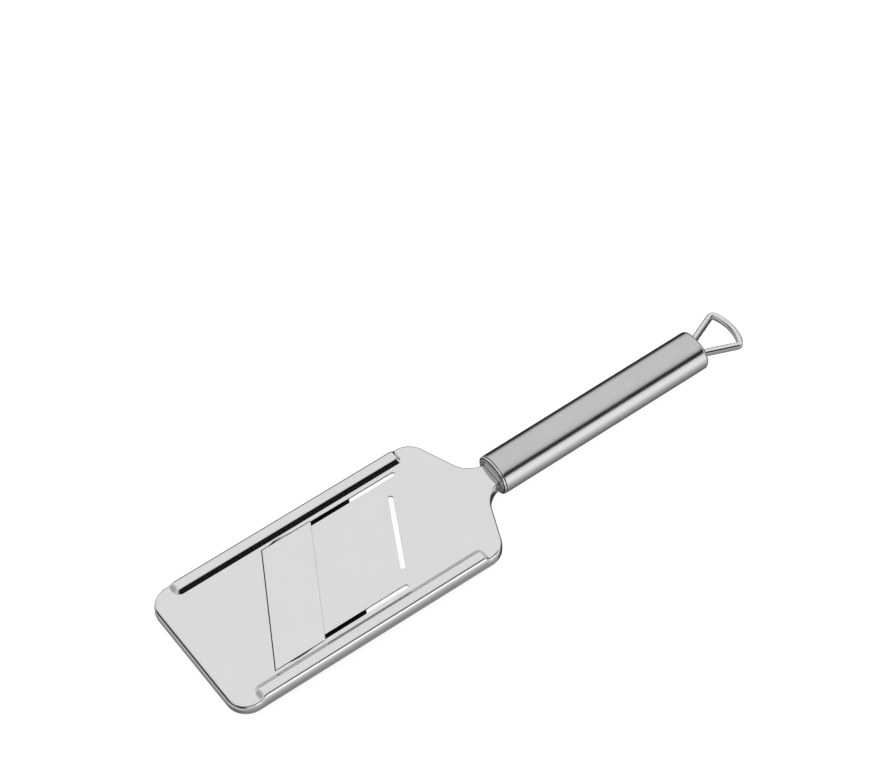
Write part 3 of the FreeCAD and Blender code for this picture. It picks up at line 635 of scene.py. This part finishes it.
def build_front_cap():
    """Polished cap: seam, bead, groove and front face, with a seat round the neck; the seam, the groove and
    the gap round the neck carry painted shade, and the front face carries a darker painted shade.
    """
    stops = [(4.5, 1.12), (0.25, 1.12), (-0.24, 1.05), (-0.26, 0.45)]
    seam = len(stops) - 1
    stops += round_stops(-0.72, 0.1, CAP_BEAD_R, -75, 75, 12, -1)
    groove = len(stops) - 1
    stops += [(-1.18, 0.95), (-1.42, 1.1)]
    groove_end = len(stops) - 1
    stops += round_stops(-1.42, 1.12, CAP_EDGE_R, 20, 90, 6, -1)
    stops += [(-1.85, 2.8), (CAP_FACE_X, CAP_FACE_IN)]
    rings = oval_rings(stops)
    for x in (CAP_FACE_X, -0.5):
        rings.append([handle_point(x, y, z) for y, z in neck_way()])
    mesh = loft("cap", rings)
    smooth(mesh, 40)
    for material in (polish, seam_painted_shade, cap_painted_shade):
        mesh.materials.append(material)
    count = len(rings[0])
    for poly in mesh.polygons:
        ring = min(poly.vertices) // count
        # seam, groove and the ring round the neck: near-black painted shade
        if ring < seam or groove <= ring < groove_end or ring == len(rings) - 2:
            poly.material_index = 1
        # front face: a darker copy of the polish, painted shade
        elif groove_end <= ring < len(rings) - 2:
            poly.material_index = 2
    return add_object("polished_cap", mesh)


LOOP_W, LOOP_H, LOOP_START = 2.8, 3.8, 119.0
LOOP_EXIT, LOOP_ANGLE = 3.74, math.radians(22.4)
LOOP_CORNER, LOOP_BOW_R, LOOP_BOW_X = 2.0, 24.6, 120.5
LOOP_FACET = 0.7
OUTER_SLOPE, INNER_SLOPE = 41, 30             # tilt of the facets in degrees
BOW_SLOPE = 25                                # added to the inner facet round the bow
LEG_STEPS, BOW_STEPS = 14, 9


def loop_path():
    """Centre line (x, y) of the hanging loop with its sideways normals."""
    along = Vector((math.cos(LOOP_ANGLE), math.sin(LOOP_ANGLE)))
    inward = Vector((along.y, -along.x))
    bow = Vector((LOOP_BOW_X, 0))
    start = Vector((TUBE_LEN, LOOP_EXIT)) + inward * LOOP_CORNER - bow
    reach = LOOP_BOW_R - LOOP_CORNER
    half_b = start.dot(along)
    travel = -half_b + math.sqrt(half_b ** 2 - start.length_squared + reach ** 2)
    corner = bow + start + along * travel
    rise = math.tan(LOOP_ANGLE) * (LOOP_START - TUBE_LEN)
    foot = Vector((LOOP_START, LOOP_EXIT + rise))
    leave = corner - inward * LOOP_CORNER
    path = [(foot.lerp(leave, i / LEG_STEPS), -inward) for i in range(LEG_STEPS)]
    a0 = math.degrees(math.atan2(-inward.y, -inward.x))
    outward = (corner - bow).normalized()
    a1 = math.degrees(math.atan2(outward.y, outward.x))
    for i in range(LEG_STEPS + 1):
        t = math.radians(a0 + (a1 - a0) * i / LEG_STEPS)
        n = Vector((math.cos(t), math.sin(t)))
        path.append((corner + n * LOOP_CORNER, n))
    for i in range(1, BOW_STEPS + 1):
        t = math.radians(a1 * (1 - i / BOW_STEPS))
        n = Vector((math.cos(t), math.sin(t)))
        path.append((bow + n * LOOP_BOW_R, n))
    mirrored = [(Vector((p.x, -p.y)), Vector((n.x, -n.y))) for p, n in reversed(path[:-1])]
    return path + mirrored


def build_loop():
    """Hanging loop swept from a strip with rounded edges."""
    half_w, half_h = LOOP_W / 2, LOOP_H / 2

    def quarter(slope):
        """Rounded corner with a facet tilted by slope degrees, from the side wall to the top."""
        wide = LOOP_FACET * math.cos(math.radians(slope))
        tall = LOOP_FACET * math.sin(math.radians(slope))
        return [
            (half_w, half_h - tall - 0.22), (half_w - 0.02, half_h - tall - 0.1),
            (half_w - 0.08, half_h - tall), (half_w - 0.08 - wide, half_h),
            (half_w - 0.18 - wide, half_h), (half_w - 0.34 - wide, half_h),
        ]

    rings = []
    for p, n in loop_path():
        outer, inner = quarter(OUTER_SLOPE), quarter(INNER_SLOPE + BOW_SLOPE * max(n.x, 0))
        section = outer + [(-w, h) for w, h in reversed(inner)]
        section += [(-w, -h) for w, h in inner] + [(w, -h) for w, h in reversed(outer)]
        rings.append([handle_point(p.x + n.x * w, p.y + n.y * w, h) for w, h in section])
    mesh = loft("loop", rings, True, True)
    smooth(mesh, 12)
    return add_object("loop_strip", mesh)


# ------------------------------------------------------------------ small parts

COIL_WIRE, COIL_R = 0.38 * MM, 5.8 * MM       # wire radius, radius of the coil's centre line
COIL_TURNS, COIL_FLAT = 3.2, 0.18             # turns, and the share of them wound flat at each end
COIL_STEPS, WIRE_STEPS = 40, 10               # steps to a turn, steps round the wire


def build_spring():
    """Anti-rattle coil, its ends wound flat."""
    low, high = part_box("knob_spring")
    centre = (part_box("threaded_bush")[0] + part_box("threaded_bush")[1]) / 2
    bottom, top = low.z + COIL_WIRE, high.z - COIL_WIRE
    rings = []
    total = int(COIL_TURNS * COIL_STEPS)
    for i in range(total + 1):
        u = i / total
        rise = min(max((u - COIL_FLAT) / (1 - 2 * COIL_FLAT), 0), 1)
        t = 2 * math.pi * COIL_TURNS * u
        middle = Vector((centre.x, 0, bottom + (top - bottom) * rise))
        out = Vector((math.cos(t), math.sin(t), 0))
        ring = []
        for j in range(WIRE_STEPS):
            a = 2 * math.pi * j / WIRE_STEPS
            reach = out * (COIL_R + COIL_WIRE * math.cos(a))
            ring.append(middle + reach + Vector((0, 0, COIL_WIRE * math.sin(a))))
        rings.append(ring)
    mesh = loft("coil", rings, True, True)
    smooth(mesh, 50)
    return add_object("coil_spring", mesh)


# ------------------------------------------------------------------ materials

class Nodes:
    """Small helper round one node tree."""

    def __init__(self, tree):
        self.tree = tree
        self.tree.nodes.clear()

    def add(self, kind, **sockets):
        """New node; names with a leading underscore are its settings, the rest its inputs."""
        node = self.tree.nodes.new(kind)
        for key, value in sockets.items():
            if key.startswith("_"):
                setattr(node, key[1:], value)
        for key, value in sockets.items():
            if not key.startswith("_"):
                node.inputs[key].default_value = value
        return node

    def link(self, a, out, b, socket):
        """Join an output of one node to an input of another."""
        self.tree.links.new(a.outputs[out], b.inputs[socket])


def ramp_points(node, stops):
    """Fill a colour ramp with (position, grey) stops."""
    elements = node.color_ramp.elements
    while len(elements) > 1:
        elements.remove(elements[-1])
    for i, (position, grey) in enumerate(stops):
        element = elements[0] if i == 0 else elements.new(position)
        element.position = position
        value = grey if isinstance(grey, tuple) else (grey, grey, grey)
        element.color = (*value, 1)


def steel(name, colour, rough, grain, bump, mottle, rough_var, scratch=0.0):
    """Bare steel: fine directional grain, faint mottling and a few hairlines."""
    mat = bpy.data.materials.new(name)
    mat.use_nodes = True
    n = Nodes(mat.node_tree)
    out = n.add("ShaderNodeOutputMaterial")
    shade = n.add("ShaderNodeBsdfPrincipled", Metallic=1.0, Roughness=rough)
    n.link(shade, 0, out, "Surface")
    place = n.add("ShaderNodeTexCoord")
    stretch = n.add("ShaderNodeMapping")
    stretch.inputs["Scale"].default_value = tuple(1000 * g for g in grain)
    n.link(place, "Object", stretch, "Vector")
    fine = n.add("ShaderNodeTexNoise", Scale=1.0, Detail=6.0, Roughness=0.65)
    n.link(stretch, 0, fine, "Vector")
    broad = n.add("ShaderNodeTexNoise", Scale=38.0, Detail=4.0, Roughness=0.6)
    n.link(place, "Object", broad, "Vector")
    # colour
    tone = n.add("ShaderNodeValToRGB")
    lowest = tuple(c * (1 - mottle) for c in colour)
    highest = tuple(min(1.0, c * (1 + mottle)) for c in colour)
    ramp_points(tone, [(0.3, lowest), (0.7, highest)])
    both = n.add("ShaderNodeMix", _data_type="FLOAT")
    both.inputs[0].default_value = 0.45
    n.link(fine, "Fac", both, 2)
    n.link(broad, "Fac", both, 3)
    n.link(both, 0, tone, "Fac")
    n.link(tone, "Color", shade, "Base Color")
    # roughness
    span = n.add("ShaderNodeMapRange")
    span.inputs["From Min"].default_value = 0.25
    span.inputs["From Max"].default_value = 0.75
    span.inputs["To Min"].default_value = max(0.02, rough - rough_var)
    span.inputs["To Max"].default_value = rough + rough_var
    n.link(both, 0, span, "Value")
    n.link(span, 0, shade, "Roughness")
    # relief
    relief = n.add("ShaderNodeBump", Strength=bump, Distance=0.00005)
    source, socket = fine, "Fac"
    if scratch:
        lines = n.add("ShaderNodeMapping")
        lines.inputs["Scale"].default_value = (30, 900, 300)
        lines.inputs["Rotation"].default_value = (0, 0, 0.35)
        n.link(place, "Object", lines, "Vector")
        hair = n.add("ShaderNodeTexNoise", Scale=1.0, Detail=2.0, Roughness=0.5)
        n.link(lines, 0, hair, "Vector")
        thin = n.add("ShaderNodeMapRange")
        thin.inputs["From Min"].default_value = 0.66
        thin.inputs["From Max"].default_value = 0.72
        thin.inputs["To Max"].default_value = scratch
        n.link(hair, "Fac", thin, "Value")
        joined = n.add("ShaderNodeMath", _operation="SUBTRACT")
        n.link(fine, "Fac", joined, 0)
        n.link(thin, 0, joined, 1)
        source, socket = joined, 0
    n.link(source, socket, relief, "Height")
    n.link(relief, 0, shade, "Normal")
    return mat


def plastic(name, colour, rough, grain, bump):
    """Moulded plastic with a fine spark-eroded grain, also used near-black as painted shade on the bridge.
    """
    mat = bpy.data.materials.new(name)
    mat.use_nodes = True
    n = Nodes(mat.node_tree)
    out = n.add("ShaderNodeOutputMaterial")
    shade = n.add("ShaderNodeBsdfPrincipled", Metallic=0.0, Roughness=rough)
    n.link(shade, 0, out, "Surface")
    place = n.add("ShaderNodeTexCoord")
    fine = n.add("ShaderNodeTexNoise", Scale=float(grain), Detail=5.0, Roughness=0.6)
    n.link(place, "Object", fine, "Vector")
    cells = n.add("ShaderNodeTexVoronoi", Scale=grain * 1.6)
    n.link(place, "Object", cells, "Vector")
    tone = n.add("ShaderNodeValToRGB")
    ramp_points(tone, [(0.3, tuple(c * 0.8 for c in colour)), (0.7, tuple(c * 1.25 for c in colour))])
    n.link(fine, "Fac", tone, "Fac")
    n.link(tone, "Color", shade, "Base Color")
    span = n.add("ShaderNodeMapRange")
    span.inputs["To Min"].default_value = rough - 0.06
    span.inputs["To Max"].default_value = rough + 0.08
    n.link(fine, "Fac", span, "Value")
    n.link(span, 0, shade, "Roughness")
    mixed = n.add("ShaderNodeMath", _operation="ADD")
    n.link(fine, "Fac", mixed, 0)
    n.link(cells, "Distance", mixed, 1)
    relief = n.add("ShaderNodeBump", Strength=bump, Distance=0.00004)
    n.link(mixed, 0, relief, "Height")
    n.link(relief, 0, shade, "Normal")
    return mat


def dress(obj, mat):
    """One material over a whole object."""
    obj.data.materials.clear()
    obj.data.materials.append(mat)


GREY = (0.78, 0.78, 0.775)
plate_steel = steel("plate_satin", GREY, 0.11, (0.5, 9, 9), 0.04, 0.03, 0.03, 0.15)
blade_steel = steel("blade_satin", (0.785, 0.785, 0.78), 0.14, (6, 0.6, 6), 0.06, 0.035, 0.04, 0.4)
# blade bed, near-black: painted shade in the narrow gaps round the blade
bed_shade_steel = steel("bed_painted_shade", (0.022, 0.022, 0.022), 0.5, (3, 3, 3), 0.2, 0.1, 0.08)
handle_steel = steel("handle_brushed", (0.585, 0.585, 0.58), 0.19, (0.12, 7, 7), 0.16, 0.07, 0.06)
# cut edges of the sheet, near-black: painted shade on the edge and slit walls
edge_shade_steel = steel("cut_edge_painted_shade", (0.08, 0.08, 0.08), 0.35, (4, 4, 4), 0.2, 0.12, 0.08)
# near-black: painted shade in the cap's seam, in its groove and in the gap round the neck
seam_painted_shade = steel("seam_painted_shade", (0.03, 0.03, 0.03), 0.55, (3, 3, 3), 0.2, 0.1, 0.08)
# the cap's front face, darker than its polish: painted shade
cap_painted_shade = steel("cap_face_painted_shade", (0.42, 0.42, 0.415), 0.12, (2, 2, 2), 0.04, 0.04, 0.03)
polish = steel("cap_polish", (0.93, 0.93, 0.925), 0.07, (2, 2, 2), 0.02, 0.02, 0.02)
loop_steel = steel("loop_polish", (0.76, 0.76, 0.755), 0.12, (2, 2, 2), 0.03, 0.03, 0.03)
turned = steel("turned_steel", (0.62, 0.62, 0.61), 0.24, (2, 2, 12), 0.1, 0.05, 0.05)
# near-black: painted shade on the bridge, seen through the slits
bridge_painted_shade = plastic("bridge_shade_black", (0.012, 0.012, 0.012), 0.42, 1200, 0.2)
knob_plastic = plastic("knob_moulded", (0.02, 0.02, 0.021), 0.45, 900, 0.3)
pad_plastic = plastic("pad_moulded", (0.05, 0.05, 0.05), 0.4, 1500, 0.15)


# ------------------------------------------------------------------ assemble

plate = build_plate()
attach(plate, "frame")
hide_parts("slicing_plate")

tongue = build_tongue()
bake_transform(tongue)
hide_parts("slicing_ramp")

tube = build_tube()
dress(tube, handle_steel)
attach(tube, "frame")
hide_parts("handle_tube")

cap = build_front_cap()
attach(cap, "frame")
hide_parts("front_cap")

loop = build_loop()
dress(loop, loop_steel)
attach(loop, "frame")
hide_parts("hanging_loop")

spring = build_spring()
dress(spring, turned)
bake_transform(spring)
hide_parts("knob_spring")


def build_strap():
    """The bridge with its front edge brought under the blade, so that no light shows between them."""
    node = nodes["adjuster_bridge"]
    strap = add_object("adjuster_strap", node.data.copy())
    bpy.context.view_layer.update()
    strap.data.transform(node.matrix_world)
    across = [vertex.co.x - SKEW * vertex.co.y for vertex in strap.data.vertices]
    front = min(across)
    for vertex, place in zip(strap.data.vertices, across):
        if place - front < BRIDGE_REACH * MM / 2:
            vertex.co.x -= BRIDGE_REACH * MM
    return strap


strap = build_strap()
# the bridge and its reach under the blade are near-black: painted shade under the slits
dress(strap, bridge_painted_shade)
bevel(strap, 0.0002, 2, 40)
even_normals(strap)
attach(strap, "frame")
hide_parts("adjuster_bridge")

CARRIED = {
    "slicing_blade": (blade_steel, 0.00012),
    # the bed's near-black steel is painted shade, seen through the gaps round the blade
    "blade_bed": (bed_shade_steel, 0.00015),
    "threaded_bush": (turned, 0.00015),
    "adjuster_screw": (turned, 0.0001),
    "adjuster_knob": (knob_plastic, 0.0003),
    "spring_washer": (turned, 0.00008),
    "pressure_pad": (pad_plastic, 0.0001),
    "rear_cap": (polish, 0.0002),
}
for name, (material, width) in CARRIED.items():
    node = nodes[name]
    node.data.materials.clear()
    node.data.materials.append(material)
    bevel(node, width, 2, 40)
    even_normals(node)

# ------------------------------------------------------------------ studio

FLOOR_REACH, FLOOR_DROP = 6.0, 0.0002          # half width, distance under the object


def build_floor():
    """Bright paper under the object, not seen in its reflections."""
    corners = [(x * FLOOR_REACH, y * FLOOR_REACH, 0) for x, y in ((-1, -1), (1, -1), (1, 1), (-1, 1))]
    mesh = bpy.data.meshes.new("floor")
    mesh.from_pydata(corners, [], [(0, 1, 2, 3)])
    floor = add_object("floor", mesh)
    floor.location.z = -FLOOR_DROP
    floor.visible_glossy = False
    paper = bpy.data.materials.new("floor_paper")
    paper.use_nodes = True
    n = Nodes(paper.node_tree)
    out = n.add("ShaderNodeOutputMaterial")
    shade = n.add("ShaderNodeBsdfPrincipled", Roughness=0.9)
    shade.inputs["Base Color"].default_value = (0.32, 0.32, 0.32, 1)
    shade.inputs["Specular IOR Level"].default_value = 0.0
    shade.inputs["Emission Color"].default_value = (1, 1, 1, 1)
    shade.inputs["Emission Strength"].default_value = 0.9
    n.link(shade, 0, out, "Surface")
    mesh.materials.append(paper)
    return floor


floor = build_floor()

MIX_A, MIX_B, MIX_RESULT = 6, 7, 2             # colour sockets of a mix node


class Room(Nodes):
    """The studio's surround: brightness by height, blended from side to side by direction."""

    def __init__(self, tree):
        super().__init__(tree)
        self.place = self.add("ShaderNodeTexCoord")
        split = self.add("ShaderNodeSeparateXYZ")
        self.link(self.place, "Generated", split, "Vector")
        self.span = self.add("ShaderNodeMapRange")
        self.span.inputs["From Min"].default_value = -1.0
        self.span.inputs["From Max"].default_value = 1.0
        self.link(split, "Z", self.span, "Value")

    def side(self, stops):
        """Brightness by height for one side: stops are (sine of elevation, grey)."""
        ramp = self.add("ShaderNodeValToRGB")
        ramp_points(ramp, [((z + 1) / 2, grey) for z, grey in stops])
        self.link(self.span, 0, ramp, "Fac")
        return ramp.outputs[0]

    def towards(self, x, y, low, high, level=False):
        """0 to 1 as a direction turns towards (x, y); level ignores how high it points."""
        turn = self.add("ShaderNodeVectorMath", _operation="DOT_PRODUCT")
        if level:
            flat = self.add("ShaderNodeVectorMath", _operation="MULTIPLY")
            self.link(self.place, "Generated", flat, 0)
            flat.inputs[1].default_value = (1, 1, 0)
            unit = self.add("ShaderNodeVectorMath", _operation="NORMALIZE")
            self.link(flat, 0, unit, 0)
            self.link(unit, 0, turn, 0)
        else:
            self.link(self.place, "Generated", turn, 0)
        turn.inputs[1].default_value = (x, y, 0)
        step = self.add("ShaderNodeMapRange", _interpolation_type="SMOOTHSTEP")
        step.inputs["From Min"].default_value = low
        step.inputs["From Max"].default_value = high
        self.link(turn, "Value", step, "Value")
        return step

    def blend(self, a, b, factor):
        """One side where the factor is 0 and the other where it is 1."""
        mix = self.add("ShaderNodeMix", _data_type="RGBA")
        self.link(factor, 0, mix, 0)
        self.tree.links.new(a, mix.inputs[MIX_A])
        self.tree.links.new(b, mix.inputs[MIX_B])
        return mix.outputs[MIX_RESULT]


NEAR_LOW = [(-1.0, 0.16), (-0.9, 0.22), (-0.8, 0.36), (-0.69, 0.44)]
NEAR_PLAIN = [(-0.5, 0.60), (-0.27, 0.68), (-0.1, 0.72), (0.1, 0.74), (0.4, 0.74), (0.50, 0.72)]
NEAR_SOFTBOX = [(-0.5, 0.66), (-0.27, 1.0), (-0.1, 1.25), (0.1, 1.35), (0.4, 1.2), (0.50, 0.95)]
NEAR_HIGH = [(0.55, 0.006), (0.80, 0.006), (0.84, 0.64), (0.88, 0.75), (0.93, 0.85), (1.0, 0.90)]
FAR_DARK = [(-1.0, 0.16), (-0.85, 0.05), (-0.1, 0.02), (0.0, 0.10), (0.1, 0.32), (0.17, 0.53), (0.23, 0.70)]
FAR_PLAIN = [(-1.0, 0.16), (-0.85, 0.30), (-0.5, 0.45), (-0.1, 0.55), (0.1, 0.62), (0.23, 0.72)]
FAR_HIGH = [(0.36, 0.84), (0.46, 0.885), (1.0, 0.90)]
END_LOW = [(-1.0, 0.16), (-0.83, 0.16), (-0.79, 0.32), (-0.70, 0.64), (-0.58, 0.60), (-0.52, 0.003)]
END_PLAIN = [(0.08, 0.003), (0.14, 0.42), (0.43, 0.52)]
END_DARK = [(0.38, 0.003), (0.43, 0.40), (0.55, 0.50)]
END_HIGH = [(0.70, 0.66), (0.85, 0.82), (1.0, 0.90)]


def build_room():
    """World light, brighter or darker by direction as round a studio table."""
    world = bpy.data.worlds.new("studio")
    bpy.context.scene.world = world
    world.use_nodes = True
    room = Room(world.node_tree)
    out = room.add("ShaderNodeOutputWorld")
    back = room.add("ShaderNodeBackground", Strength=1.0)
    room.link(back, 0, out, "Surface")
    near_plain = room.side(NEAR_LOW + NEAR_PLAIN + NEAR_HIGH)
    near_softbox = room.side(NEAR_LOW + NEAR_SOFTBOX + NEAR_HIGH)
    far_dark = room.side(FAR_DARK + FAR_HIGH)
    far_plain = room.side(FAR_PLAIN + FAR_HIGH)
    end_plain = room.side(END_LOW + END_PLAIN + END_HIGH)
    end_dark = room.side(END_LOW + END_DARK + END_HIGH)
    near = room.blend(near_plain, near_softbox, room.towards(0.366, -0.93, 0.915, 0.978, level=True))
    end = room.blend(end_plain, end_dark, room.towards(-0.875, 0.485, 0.927, 0.978, level=True))
    end = room.blend(end, end_dark, room.towards(-0.75, -0.66, 0.85, 0.95, level=True))
    far = room.blend(far_plain, far_dark, room.towards(0.866, 0.5, 0.53, 0.68, level=True))
    front = room.blend(near, end, room.towards(-0.9, 0.2, 0.15, 0.5))
    whole = room.blend(front, far, room.towards(0.6, 0.8, 0.05, 0.35))
    room.tree.links.new(whole, back.inputs["Color"])


def build_lamp():
    """Soft light from above, not seen in reflections."""
    light = bpy.data.lights.new("softbox_top", "AREA")
    light.shape = "SQUARE"
    light.size = 2.0
    light.energy = 6.0
    lamp = bpy.data.objects.new("softbox_top", light)
    lamp.location = (-0.3, 0.2, 2.0)
    lamp.visible_glossy = False
    bpy.context.scene.collection.objects.link(lamp)


CAMERA_AT = plate_point(-387.5, -719.7, 1324.9)
AZIMUTH, ELEVATION = math.radians(-36.42), math.radians(53.96)
SENSOR, LENS = 36, 137.2


def build_camera():
    """The main view."""
    camera = bpy.data.cameras.new("camera")
    camera.sensor_width = SENSOR
    camera.lens = LENS
    camera.clip_start = 0.05
    camera.clip_end = 50
    eye = bpy.data.objects.new("camera", camera)
    bpy.context.scene.collection.objects.link(eye)
    across, up = math.cos(ELEVATION), math.sin(ELEVATION)
    away = Vector((math.sin(AZIMUTH) * across, -math.cos(AZIMUTH) * across, up))
    eye.location = CAMERA_AT
    eye.rotation_mode = "QUATERNION"
    eye.rotation_quaternion = (-away).to_track_quat("-Z", "Y")
    bpy.context.scene.camera = eye


build_room()
build_lamp()
build_camera()
bpy.context.scene.view_settings.view_transform = "Standard"
